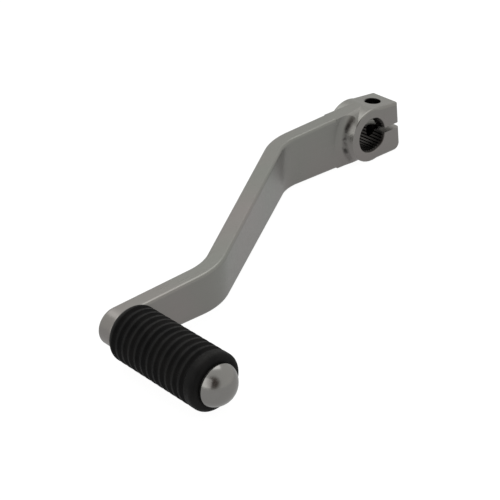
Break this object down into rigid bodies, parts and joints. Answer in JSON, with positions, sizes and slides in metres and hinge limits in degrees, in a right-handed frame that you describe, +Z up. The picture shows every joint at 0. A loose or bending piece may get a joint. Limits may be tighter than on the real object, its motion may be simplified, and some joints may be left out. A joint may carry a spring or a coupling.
{
  "type": "motorcycle gear shift lever",
  "caption": "Motorcycle gear shift lever: flat steel arm set over by two bends, a split serrated clamp hub at one end and a ribbed rubber toe peg with a domed head at the other.",
  "frame": {"origin": "on the axis of the serrated bore, half way through the hub's thickness", "axes": "+X from the arm towards the clamp ears, +Y along the bore towards the engine, +Z up; the arm runs to -X and the toe peg points to -Y"},
  "size_m": [0.1862, 0.1108, 0.0224],
  "materials": {
    "plated_steel": "polished forging with soft edges, satin bright plating",
    "peg_steel": "turned and polished, bright plated",
    "black_rubber": "moulded, matt"
  },
  "bodies": {
    "root": {"lever_arm": "plated_steel", "peg_pin": "peg_steel", "peg_rubber": "black_rubber"}
  },
  "joints": []
}
